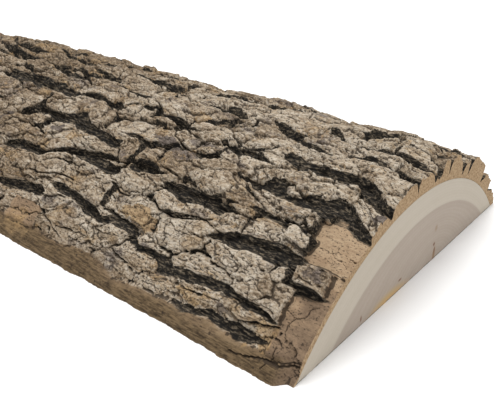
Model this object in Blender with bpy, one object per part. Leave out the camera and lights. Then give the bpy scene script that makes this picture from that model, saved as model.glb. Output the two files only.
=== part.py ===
"""Wood slab: the outer slice of a log, sawn flat underneath, with its thick furrowed bark still on.

The frame: +X runs along the grain to the near cut end, +Y to the back edge, +Z up.
The origin is the middle of the flat sawn base. Sizes are real, in metres.
"""

import math
import random

import bmesh
import bpy
import numpy as np
from mathutils import Vector

MM = 0.001

# Driving dimensions of the slab
LENGTH = 610 * MM
WIDTH = 302 * MM  # at the base, over the highest plates
HEIGHT = 83 * MM  # from the base to the top of the highest plates
WOOD_WIDTH = 283 * MM
WOOD_HEIGHT = 67 * MM
SEAM = 0.3 * MM  # clearance between the wood and the bark grown on it

# Fineness of the faceted bark
ROWS = 56  # steps along the slab
COLUMNS = 86  # steps across the arch, shared with the wood so that the seam stays even
RIM_SHIFT = 0.42  # share of a step that a column may move to meet a channel's rim

# Channels between the plates. Heights are shares of the bark's thickness: 0 at the wood, 1 at
# the plate tops
CHANNEL_FLOOR = 0.1
CHANNEL_WALL = 0.5  # share of a channel's half width that its side wall takes
CHANNEL_SPREAD = 1.2  # how much wider a channel's rim is than its dark bottom
FULL_DEPTH_WIDTH = 4.5  # mm of half width at which a channel reaches its floor
FINEST_CHANNEL = 1.6  # mm of half width; narrower cracks are left out of the solid

# Plates: cells about as long and wide as this, each at its own height, with a groove between
PLATE_LENGTH = 46.0  # mm
PLATE_WIDTH = 24.0  # mm
PLATE_SEED = 5
PLATE_STRAY = (0.3, 0.25)  # how far a plate strays from its row, as shares of its size
PLATE_STEP = 0.26  # how much lower the lowest plates lie
PLATE_TILT = 0.16
GROOVE_DEPTH = 0.26
GROOVE_WIDTH = 0.34  # as a share of a plate

# The front edge, where the bark is scraped down to its fibres
FRONT_WEAR_START = -152.0  # mm round the arch
FRONT_WEAR_SLOPE = 22.0  # mm
FRONT_WEAR = 0.24

# Places are (mm in from the near end, mm round the arch from its crest, the front negative)
# and a channel's third number is its half width in mm
CHANNELS = [
    [(-5, -73, 5.5), (20, -67, 7), (36, -62, 6.5), (50, -60, 5.5), (65, -63, 4), (78, -59, 6), (90, -60, 4),
     (107, -59, 0.5)],
    [(-5, -48, 5), (14, -41, 5), (27, -36, 5.5), (40, -34, 6.5), (52, -34, 5), (66, -31, 5.5), (80, -29, 6),
     (94, -27, 4), (103, -26, 0.5)],
    [(36, -85, 1), (50, -84, 3), (62, -83, 2.5), (75, -82, 3), (83, -84, 0.5)],
    [(86, -89, 1), (98, -91, 4), (110, -90, 4), (130, -91, 6.5), (145, -92, 4.5), (158, -91, 0.5)],
    [(28, -98, 1), (35, -102, 5.5), (44, -105, 7.5), (54, -106, 8), (66, -107, 6), (78, -107, 7),
     (90, -111, 4), (99, -114, 0.5)],
    [(22, -148, 1), (33, -145, 2.5), (46, -143, 3), (72, -139, 2.5), (85, -141, 3.5), (100, -143, 4.5),
     (117, -144, 5), (128, -140, 3), (142, -139, 3.5), (151, -138, 4), (159, -131, 3)],
    [(159, -131, 3), (180, -131, 3), (190, -135, 2.5), (202, -133, 3.5), (216, -131, 4.5), (230, -127, 3.5),
     (245, -126, 3), (257, -124, 0.5)],
    [(30, -160, 1), (46, -160, 2), (60, -161, 2.5), (72, -159, 3.5), (82, -163, 1.5), (108, -168, 0.5)],
    [(157, -84, 1), (167, -85, 3), (178, -83, 5.5), (188, -83, 5.5), (195, -82, 1)],
    [(89, -45, 0.5), (100, -43, 2.5), (112, -40, 4.5), (125, -36, 6), (138, -36, 3)],
    [(138, -36, 1.5), (137, -45, 2), (139, -54, 3)],
    [(123, -56, 0.5), (131, -56, 2), (139, -54, 3.5), (146, -56, 3), (156, -54, 1), (176, -53, 2),
     (186, -58, 3)],
    [(186, -60, 2), (192, -60, 4), (202, -60, 4.5), (212, -57, 3), (222, -58, 2), (233, -58, 0.5)],
    [(201, -62, 3), (198, -74, 3), (199, -86, 3.5), (204, -95, 4)],
    [(204, -95, 4.5), (218, -95, 5.5), (232, -93, 5.5), (249, -91, 5), (259, -94, 4), (269, -98, 2.5),
     (278, -103, 2), (288, -107, 3), (301, -107, 3.5), (315, -106, 4.5), (330, -107, 5), (343, -111, 0.5)],
    [(217, -68, 0.5), (226, -70, 4.5), (240, -70, 6), (258, -67, 6), (273, -64, 5.5), (287, -61, 8),
     (301, -62, 6.5), (318, -64, 5), (335, -65, 4), (345, -69, 7), (353, -74, 5), (360, -83, 3),
     (368, -86, 0.5)],
    [(347, -42, 1.5), (346, -54, 3), (346, -66, 4)],
    [(254, -33, 0.5), (262, -33, 3), (273, -31, 5), (287, -30, 3.5), (301, -27, 3.5), (330, -30, 3.5),
     (344, -28, 6), (358, -29, 8), (373, -30, 9.5), (388, -28, 9.5), (410, -27, 9), (430, -28, 8),
     (443, -35, 0.5)],
    [(166, -29, 0.5), (178, -30, 2.5), (190, -30, 4), (204, -29, 3.5), (217, -31, 4), (226, -31, 3.5)],
    [(219, -26, 2), (229, -20, 3), (241, -21, 2.5), (253, -24, 3), (260, -31, 2)],
    [(255, -133, 0.5), (266, -133, 4), (280, -135, 4), (293, -138, 4.5), (305, -140, 4), (325, -143, 3.5),
     (345, -141, 0.5)],
    [(-5, -8, 4), (14, -6, 4.5), (27, -4, 4.5), (40, 0, 2.5), (53, 2, 3), (63, -1, 2), (72, -7, 3),
     (85, -5, 3.5), (98, 0, 3.5), (110, 6, 5), (124, 14, 3.5), (138, 20, 1)],
    [(-5, 20, 5), (14, 22, 5), (27, 22, 5), (36, 19, 4), (43, 23, 7), (53, 22, 5.5), (66, 22, 3.5),
     (76, 21, 3), (84, 29, 3.5), (91, 38, 4.5), (97, 44, 1)],
    [(140, 6, 1), (148, 10, 4), (158, 2, 4), (170, -7, 3.5), (180, -12, 2), (188, -16, 0.5)],
    [(160, 18, 1), (168, 20, 5), (180, 25, 7), (192, 23, 5), (202, 14, 1)],
    [(106, -20, 1.5), (112, -28, 2.5), (123, -31, 2), (134, -30, 2), (142, -25, 1.5), (149, -17, 1),
     (155, -6, 1)],
    [(427, 5, 1), (438, 9, 5), (452, 10, 4.5), (470, 14, 4), (493, 18, 5), (515, 24, 1)],
    [(398, 28, 1), (410, 33, 5), (422, 40, 4), (436, 46, 1)],
    [(312, 8, 1), (322, 12, 5.5), (335, 15, 3.5), (350, 16, 3), (364, 20, 0.5)],
    [(-5, 45, 4), (12, 45, 4.5), (30, 47, 3), (46, 52, 3.5), (64, 51, 3), (80, 46, 1)],
]

# Where plates have broken away and the inner bark lies bare: from and to along, from and to
# round the arch, and the height that is left
SCARS = [
    ((-20, 30), (-101, -75), 0.36),
    ((-20, 25), (-190, -121), 0.4),
    ((252, 290), (-190, -146), 0.62),
]
SCAR_WALL = 3.0  # mm of slope round a scar

# Lanes of lens-shaped channels by rule, where no single one stands out: mm round the arch, and
# mm in from the near end where the lane starts
LANES = [
    (152, -45), (138, -20), (125, -50), (107, -20), (89, -45), (70, -50), (50, 112), (30, 212), (4, 212),
    (28, 455), (6, 530), (-20, 455), (-46, 425), (-70, 380), (-94, 355), (-118, 352), (-142, 356), (48, 448),
]
LANE_SEED = 11
LANE_SWAY = 5.0  # mm
CHANNEL_LENGTHS = (60, 130)  # mm
CHANNEL_HALF_WIDTHS = (3.2, 6.4)  # mm
CHANNEL_GAPS = (4, 18)  # mm
CHANNEL_TIP = 0.6  # mm of half width
CHANNEL_FULLNESS = ((0.2, 0.8), (0.5, 1.0), (0.8, 0.7))  # share of the length, share of the half width

BARK_COLOUR = (0.29, 0.225, 0.165, 1.0)
BARK_ROUGHNESS = 0.95
WOOD_COLOUR = (0.64, 0.56, 0.44, 1.0)
WOOD_ROUGHNESS = 0.75
SMOOTH_BELOW = math.radians(30)


def arc_of(width, height):
    """Radius and half angle of the circular arch of that width and height."""
    radius = (width * width / 4 + height * height) / (2 * height)
    return radius, math.asin(width / 2 / radius)


def arch_point(share, width, height):
    """(y, z) on an arch, where share runs from -1 at its front foot to 1 at its back foot."""
    radius, half_angle = arc_of(width, height)
    angle = share * half_angle
    return radius * math.sin(angle), radius * math.cos(angle) - (radius - height)


def seam_point(share):
    """(y, z) on the bark's inner face, just clear of the wood."""
    return arch_point(share, WOOD_WIDTH + 2 * SEAM, WOOD_HEIGHT + SEAM)


def grown_channels():
    """Lens-shaped channels in staggered lanes."""
    draw = random.Random(LANE_SEED)
    grown = []
    for across, start in LANES:
        along = start + draw.uniform(0, CHANNEL_GAPS[1])
        while along < LENGTH / MM:
            length = draw.uniform(*CHANNEL_LENGTHS)
            half_width = draw.uniform(*CHANNEL_HALF_WIDTHS)
            line = [(along, across + draw.uniform(-LANE_SWAY, LANE_SWAY), CHANNEL_TIP)]
            for share, fullness in CHANNEL_FULLNESS:
                place = across + draw.uniform(-LANE_SWAY, LANE_SWAY)
                line.append((along + share * length, place, fullness * half_width))
            line.append((along + length, across + draw.uniform(-LANE_SWAY, LANE_SWAY), CHANNEL_TIP))
            grown.append(line)
            along += length + draw.uniform(*CHANNEL_GAPS)
    return grown


def channel_depth(along, across, line):
    """How far down its channel each point is: 0 at the rim and beyond, 1 at the bottom."""
    deepest = np.zeros_like(along)
    for (a0, c0, w0), (a1, c1, w1) in zip(line, line[1:]):
        run = a1 - a0
        rise = c1 - c0
        t = np.clip(((along - a0) * run + (across - c0) * rise) / (run * run + rise * rise), 0, 1)
        half_width = CHANNEL_SPREAD * (w0 + t * (w1 - w0))
        distance = np.hypot(along - a0 - t * run, across - c0 - t * rise)
        depth = np.clip((1 - distance / half_width) / CHANNEL_WALL, 0, 1)
        depth *= np.clip(half_width / FULL_DEPTH_WIDTH, 0, 1) * (half_width >= FINEST_CHANNEL)
        deepest = np.maximum(deepest, depth)
    return deepest


def plate_centres():
    """Centres of the plates in staggered rows, each with its height and its tilts."""
    draw = random.Random(PLATE_SEED)
    centres = []
    lengths = int(LENGTH / MM / PLATE_LENGTH) + 2  # one more row than lies on the slab, each way
    widths = int(WIDTH / MM / PLATE_WIDTH / 2) + 3
    for j in range(-widths, widths + 1):
        for i in range(-1, lengths):
            stray = [draw.uniform(-most, most) for most in PLATE_STRAY]
            along = (i + 0.5 * (j % 2) + stray[0]) * PLATE_LENGTH
            across = (j + stray[1]) * PLATE_WIDTH
            tilts = draw.uniform(-1, 1), draw.uniform(-1, 1)
            centres.append((along, across, draw.random(), *tilts))
    return np.array(centres)


def plate_tops(along, across, centres):
    """The height of the plates before the channels part them."""
    run = (along[:, None] - centres[:, 0]) / PLATE_LENGTH
    rise = (across[:, None] - centres[:, 1]) / PLATE_WIDTH
    distance = np.hypot(run, rise)
    order = np.argsort(distance, axis=1)
    every = np.arange(len(along))
    nearest = order[:, 0]
    edge = distance[every, order[:, 1]] - distance[every, nearest]
    tilt = run[every, nearest] * centres[nearest, 3] + rise[every, nearest] * centres[nearest, 4]
    level = 1 - PLATE_STEP * centres[nearest, 2] + PLATE_TILT * tilt
    level -= GROOVE_DEPTH * np.clip(1 - edge / GROOVE_WIDTH, 0, 1)
    return np.minimum(level, 1)


def relief(along, across, centres, channels):
    """Height of the bark at each point, from 0 at the wood to 1 at the plate tops."""
    level = plate_tops(along, across, centres)
    level -= FRONT_WEAR * np.clip((FRONT_WEAR_START - across) / FRONT_WEAR_SLOPE, 0, 1)
    for (a0, a1), (c0, c1), left in SCARS:
        outside = np.maximum.reduce([a0 - along, along - a1, c0 - across, across - c1])
        bare = np.clip(-outside / SCAR_WALL, 0, 1)
        level = np.minimum(level, (1 - bare) * level + bare * left)
    for line in channels:
        level = np.minimum(level, level + channel_depth(along, across, line) * (CHANNEL_FLOOR - level))
    return np.maximum(level, CHANNEL_FLOOR)


def columns_on_rims(along, across, channels):
    """Moves each column of the grid to the channel rim beside it, so that the rims are crisp."""
    step = across[1] - across[0]
    moved = across.copy()
    for line in channels:
        for (a0, c0, w0), (a1, c1, w1) in zip(line, line[1:]):
            if abs(a1 - a0) < abs(c1 - c0) or not min(a0, a1) <= along <= max(a0, a1):
                continue
            t = (along - a0) / (a1 - a0)
            middle = c0 + t * (c1 - c0)
            half_width = CHANNEL_SPREAD * (w0 + t * (w1 - w0))
            if half_width < FINEST_CHANNEL:
                continue
            for rim in (middle - half_width, middle + half_width):
                column = int(round((rim - across[0]) / step))
                if 0 < column < len(across) - 1:
                    shift = (rim - across[column]) / step
                    moved[column] = across[column] + step * np.clip(shift, -RIM_SHIFT, RIM_SHIFT)
    return moved


def split_quad(corners, levels):
    """Two triangles from a four-sided cell, folded along the diagonal with the smaller fall."""
    a, b, c, d = corners
    if abs(levels[0] - levels[2]) <= abs(levels[1] - levels[3]):
        return (a, b, c), (a, c, d)
    return (a, b, d), (b, c, d)


def bark_mesh():
    """The bark as one arched shell: relief outside, smooth inside, sawn flat at ends and feet."""
    radius, half_angle = arc_of(WIDTH, HEIGHT)
    half_arc = radius * half_angle / MM
    centres = plate_centres()
    channels = CHANNELS + grown_channels()
    columns = np.linspace(-half_arc, half_arc, COLUMNS + 1)
    mesh = bmesh.new()
    outer = []
    levels = []
    for along in np.linspace(0, LENGTH / MM, ROWS + 1):
        across = columns_on_rims(along, columns, channels)
        level = relief(np.full_like(across, along), across, centres, channels)
        row = []
        for place, height in zip(across, level):
            foot = Vector(seam_point(place / half_arc))
            y, z = foot.lerp(Vector(arch_point(place / half_arc, WIDTH, HEIGHT)), height)
            row.append(mesh.verts.new((LENGTH / 2 - along * MM, y, z)))
        outer.append(row)
        levels.append(level)
    inner = []
    for x in (LENGTH / 2, -LENGTH / 2):
        inner.append([mesh.verts.new((x, *seam_point(place / half_arc))) for place in columns])
    for i in range(ROWS):
        for j in range(COLUMNS):
            corners = outer[i][j], outer[i][j + 1], outer[i + 1][j + 1], outer[i + 1][j]
            heights = levels[i][j], levels[i][j + 1], levels[i + 1][j + 1], levels[i + 1][j]
            for three in split_quad(corners, heights):
                mesh.faces.new(three)
    for j in range(COLUMNS):
        mesh.faces.new((inner[0][j], inner[1][j], inner[1][j + 1], inner[0][j + 1]))
        mesh.faces.new((outer[0][j], inner[0][j], inner[0][j + 1], outer[0][j + 1]))
        mesh.faces.new((outer[-1][j], outer[-1][j + 1], inner[1][j + 1], inner[1][j]))
    for j in (0, -1):
        mesh.faces.new([row[j] for row in outer] + [inner[1][j], inner[0][j]])
    bmesh.ops.recalc_face_normals(mesh, faces=mesh.faces)
    bmesh.ops.triangulate(mesh, faces=[face for face in mesh.faces if len(face.verts) > 3])
    return mesh


def wood_mesh():
    """The wood under the bark: an arch over the flat sawn base."""
    mesh = bmesh.new()
    outline = [arch_point(2 * j / COLUMNS - 1, WOOD_WIDTH, WOOD_HEIGHT) for j in range(COLUMNS + 1)]
    near, far = ([mesh.verts.new((x, y, z)) for y, z in outline] for x in (LENGTH / 2, -LENGTH / 2))
    for j in range(COLUMNS):
        mesh.faces.new((near[j], near[j + 1], far[j + 1], far[j]))
    mesh.faces.new((near[0], far[0], far[-1], near[-1]))
    mesh.faces.new(near)
    mesh.faces.new(far)
    bmesh.ops.recalc_face_normals(mesh, faces=mesh.faces)
    return mesh


def centre_across(meshes):
    """Moves the slab in Y so that its two feet lie equally far from the middle."""
    places = [vert.co.y for mesh in meshes for vert in mesh.verts]
    shift = Vector((0, -(min(places) + max(places)) / 2, 0))
    for mesh in meshes:
        bmesh.ops.translate(mesh, verts=mesh.verts, vec=shift)


def add_object(name, mesh, colour, roughness, parent):
    data = bpy.data.meshes.new(name)
    mesh.to_mesh(data)
    mesh.free()
    material = bpy.data.materials.new(name)
    material.use_nodes = True
    shader = material.node_tree.nodes["Principled BSDF"]
    shader.inputs["Base Color"].default_value = colour
    shader.inputs["Roughness"].default_value = roughness
    shader.inputs["Metallic"].default_value = 0.0
    data.materials.append(material)
    placed = bpy.data.objects.new(name, data)
    placed.parent = parent
    bpy.context.scene.collection.objects.link(placed)
    return placed


def main():
    for leftover in list(bpy.data.objects):
        bpy.data.objects.remove(leftover)
    slab = bpy.data.objects.new("slab", None)
    bpy.context.scene.collection.objects.link(slab)
    wood = wood_mesh()
    bark = bark_mesh()
    centre_across([wood, bark])
    placed = add_object("wood", wood, WOOD_COLOUR, WOOD_ROUGHNESS, slab)
    placed.data.shade_smooth()
    placed.data.set_sharp_from_angle(angle=SMOOTH_BELOW)
    add_object("bark", bark, BARK_COLOUR, BARK_ROUGHNESS, slab)


main()
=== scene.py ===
import math
import random
from types import SimpleNamespace

import bpy
import numpy as np
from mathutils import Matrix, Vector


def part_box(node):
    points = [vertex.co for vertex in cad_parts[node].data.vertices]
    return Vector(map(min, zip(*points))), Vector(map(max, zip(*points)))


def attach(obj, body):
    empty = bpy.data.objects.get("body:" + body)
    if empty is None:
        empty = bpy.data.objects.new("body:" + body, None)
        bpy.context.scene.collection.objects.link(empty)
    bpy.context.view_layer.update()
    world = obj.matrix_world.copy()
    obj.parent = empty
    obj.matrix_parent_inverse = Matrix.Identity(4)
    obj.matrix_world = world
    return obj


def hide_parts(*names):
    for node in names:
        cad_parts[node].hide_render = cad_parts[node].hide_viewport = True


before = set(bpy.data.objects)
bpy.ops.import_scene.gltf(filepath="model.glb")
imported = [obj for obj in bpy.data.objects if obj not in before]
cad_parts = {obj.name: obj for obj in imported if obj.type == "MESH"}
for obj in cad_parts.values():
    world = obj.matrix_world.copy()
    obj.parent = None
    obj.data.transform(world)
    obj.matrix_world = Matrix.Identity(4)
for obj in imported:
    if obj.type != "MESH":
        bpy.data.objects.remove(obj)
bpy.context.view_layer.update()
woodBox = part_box("wood")
shiftY = 500 * (woodBox[0][1] + woodBox[1][1])  # mm from the frame's middle to the middle of the arch
print("stage 1: frame loaded")

# The slab in mm. u runs from the near cut end to the far one, v round the arch from its crest,
# negative towards the front edge.
slab = {
    "length": 610.0,
    "width": 302.0,
    "height": 83.0,
    "woodWidth": 283.0,
    "woodHeight": 67.0,
    "seam": 0.3,
}


def srgb(red, green, blue):
    # a colour on the usual 0 to 255 scale, as the linear one that shaders take
    parts = [value / 255 for value in (red, green, blue)]
    return (*[part / 12.92 if part <= 0.04045 else ((part + 0.055) / 1.055) ** 2.4 for part in parts], 1.0)


def smooth(low, high, value):
    t = np.clip((value - low) / (high - low), 0, 1)
    return t * t * (3 - 2 * t)


def fade(low, high, value):
    return 1 - smooth(low, high, value)


def hill(value, rise, full, fall, end):
    # 0 up to rise, 1 from full to fall, and 0 again from end
    return smooth(rise, full, value) * fade(fall, end, value)


def blendTo(base, other, share):
    return base + (other - base) * share


def noise(u, v, waveU, waveV, seed):
    # even random hills about waveU long and waveV wide, from -1 to 1
    size = 128
    table = np.random.default_rng(seed).uniform(-1, 1, (size, size))
    x = u / waveU + 517.37 + seed * 3.1
    y = v / waveV + 517.61 + seed * 1.7
    i = np.floor(x).astype(int)
    j = np.floor(y).astype(int)
    s = x - i
    t = y - j
    s = s * s * s * (s * (s * 6 - 15) + 10)
    t = t * t * t * (t * (t * 6 - 15) + 10)
    i0, i1, j0, j1 = i % size, (i + 1) % size, j % size, (j + 1) % size
    near = table[i0, j0] * (1 - s) + table[i1, j0] * s
    far = table[i0, j1] * (1 - s) + table[i1, j1] * s
    return near * (1 - t) + far * t


def arcOf(width, height):
    radius = (width * width / 4 + height * height) / (2 * height)
    return radius, math.asin(width / 2 / radius)


def archPoints(share, width, height):
    # y and z in mm on an arch, share from -1 at the front foot to 1 at the back foot
    radius, halfAngle = arcOf(width, height)
    angle = share * halfAngle
    return np.stack([radius * np.sin(angle), radius * np.cos(angle) - (radius - height)], axis=-1)


def seamPoints(share):
    return archPoints(share, slab["woodWidth"] + 2 * slab["seam"], slab["woodHeight"] + slab["seam"])


def pointsOf(mesh):
    flat = np.empty(len(mesh.vertices) * 3, np.float32)
    mesh.vertices.foreach_get("co", flat)
    return flat.reshape(-1, 3)


def deselectAll():
    if bpy.context.mode != "OBJECT":
        bpy.ops.object.mode_set(mode="OBJECT")
    bpy.ops.object.select_all(action="DESELECT")


# The camera and the light come first, so that each draft can be compared with the photo
view = {
    "place": (0.4764, -0.3937, 0.2806),
    "turn": 39.21,  # degrees from looking along +Y
    "down": 28.11,
    "lens": 49.9,
    "sensor": 36.0,
}


def makeCamera():
    deselectAll()
    tilt = (math.radians(90 - view["down"]), 0, math.radians(view["turn"]))
    place = (view["place"][0], view["place"][1] + shiftY / 1000, view["place"][2])
    bpy.ops.object.camera_add(location=place, rotation=tilt)
    camera = bpy.context.active_object
    camera.name = "photoCamera"
    camera.data.lens = view["lens"]
    camera.data.sensor_width = view["sensor"]
    camera.data.clip_start = 0.01
    bpy.context.scene.camera = camera


studio = {
    "skyStrength": 0.62,
    "skyColour": (1.0, 1.0, 1.0, 1.0),
    "floorColour": srgb(254, 254, 254),
    "floorSize": 12.0,
    # name, place, aimed at, size, watts
    "lamps": [
        ("topSoftbox", (-0.25, 0.25, 2.0), (0.0, 0.0, 0.05), 1.3, 31.0),
        ("sideSoftbox", (1.7, -0.2, 0.9), (0.1, 0.0, 0.04), 1.2, 5.2),
    ],
}


def makeStudio():
    world = bpy.data.worlds.new("studioSky")
    world.use_nodes = True
    sky = world.node_tree.nodes["Background"]
    sky.inputs["Color"].default_value = studio["skyColour"]
    sky.inputs["Strength"].default_value = studio["skyStrength"]
    bpy.context.scene.world = world
    bpy.context.scene.view_settings.view_transform = "Standard"
    for name, place, target, size, watts in studio["lamps"]:
        deselectAll()
        aim = [b - a for a, b in zip(place, target)]
        flat = math.hypot(aim[0], aim[1])
        tilt = (math.pi / 2 + math.atan2(aim[2], flat), 0, math.atan2(aim[1], aim[0]) - math.pi / 2)
        bpy.ops.object.light_add(type="AREA", location=place, rotation=tilt)
        lamp = bpy.context.active_object
        lamp.name = name
        lamp.data.shape = "DISK"
        lamp.data.size = size
        lamp.data.energy = watts
    deselectAll()
    bpy.ops.mesh.primitive_plane_add(size=studio["floorSize"], location=(0, 0, 0))
    floor = bpy.context.active_object
    floor.name = "paleFloor"
    paint = bpy.data.materials.new("paleFloorPaint")
    paint.use_nodes = True
    shader = paint.node_tree.nodes["Principled BSDF"]
    shader.inputs["Base Color"].default_value = studio["floorColour"]
    shader.inputs["Roughness"].default_value = 0.9
    shader.inputs["Specular IOR Level"].default_value = 0.1
    floor.data.materials.append(paint)


makeCamera()
makeStudio()
print("stage 2: camera, light and floor")

# The bark's relief, in mm where nothing else is said
bark = {
    # pieces along the slab, each with its first and last mm
    "pieces": [("barkEnd", 0.0, 112.0), ("barkNear", 112.0, 240.0), ("barkMiddle", 240.0, 400.0),
               ("barkFar", 400.0, 610.0)],
    "alongSteps": 190,  # in each piece
    "margin": 12,  # more steps at both ends, worked out so that the pieces meet and then left off
    "acrossSteps": 480,  # over the arch
    "underSteps": 24,  # round the inner side, on the wood
    "footSteps": 3,
    "plateLength": 46.0,
    "plateWidth": 24.0,
    "plateSeed": 5,
    "plateStray": (0.3, 0.25),
    "plateStep": 0.32,
    "plateTilt": 0.16,
    "farFall": 0.18,  # how much lower the crest and the back are at the far end, as a share of the thickness
    "splitWidth": 0.8,  # half width of the cracks between plates
    "splitDepth": 3.2,
    "shoulder": 2.0,  # over which a plate's rim falls away
    "shoulderDepth": 0.7,
    "backSwell": 7.0,  # that the plates stand higher on the back than on a plain arch
    "backSwellReach": (10, 56, 148, 184),
    # ledges that step down round a plate and beside a channel: how far in from the rim, seed, how far down
    "rimLedges": [(1.4, 61, 0.8), (3.6, 62, 0.7), (6.2, 63, 0.6)],
    # layers of flakes: length and width of a flake, seed, from the lowest to the highest
    "flakes": [(32.0, 19.0, 21, 3.2), (19.0, 10.0, 22, 1.7), (12.0, 4.5, 23, 0.4)],
    "flakeStray": (0.45, 0.45),
    "chipLength": 10.0,
    "chipWidth": 8.0,
    "chipSeed": 31,
    "chipStray": (0.42, 0.42),
    "channelFloor": 0.1,
    "channelWidth": 0.87,  # share of the half widths below
    # ledges of a channel's wall: where each stands, as a share of the half width, and where it stands at the
    # cut end, seed, share of the depth
    "channelLedges": [(1.2, 1.0, 41, 0.32), (0.94, 0.62, 42, 0.35), (0.68, 0.25, 43, 0.33)],
    "fullDepthWidth": 4.2,
    "frontWearStart": -152.0,
    "frontWearSlope": 22.0,
    "frontWear": 0.24,
    "stripLeft": 0.46,  # share of the thickness left in the scraped strip along the front
    "stripFoot": 0.62,  # and what it gains towards the foot
    "thinnest": 0.7,
}

# How light the plates are, from 0 to 1: how much each thing adds or takes
tones = {
    "plate": 0.7,
    "chip": 0.22,
    "flake": 0.25,
    "drift": 0.25,
    # raised rims lighter: partly wear, partly a painted highlight
    "rim": 0.34,
    "edge": 0.22,
    # painted light on the plates towards the front
    "front": 0.22,
    "frontRow": 0.36,
    "far": 0.7,
    "back": 0.3,
    "standing": 0.2,
    "pale": 0.5,
    "bare": 0.8,
    # darker bare places towards the front: partly dirt, partly painted shadow
    "bareFrontShadeAndDirt": 0.6,
}

# Where the relief lies aside of the plain rows: mm along and round, and its reach along u and v, each as
# where it rises, is full, falls and ends. 999 is past the slab's edges.
bends = [
    (-6.5, 0.0, (60, 115, 250, 330), (-999, -998, 998, 999)),
    (6.5, 0.0, (180, 220, 250, 330), (-999, -998, -135, -110)),
    (0.0, -9.5, (5, 30, 260, 330), (-80, -20, 10, 50)),
    (0.0, 6.65, (110, 165, 260, 330), (-80, -20, 10, 50)),
    (0.0, 3.5, (15, 50, 110, 190), (-999, -998, -145, -108)),
    (0.0, 4.5, (-999, -998, 30, 50), (-125, -105, -72, -54)),
]

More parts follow.
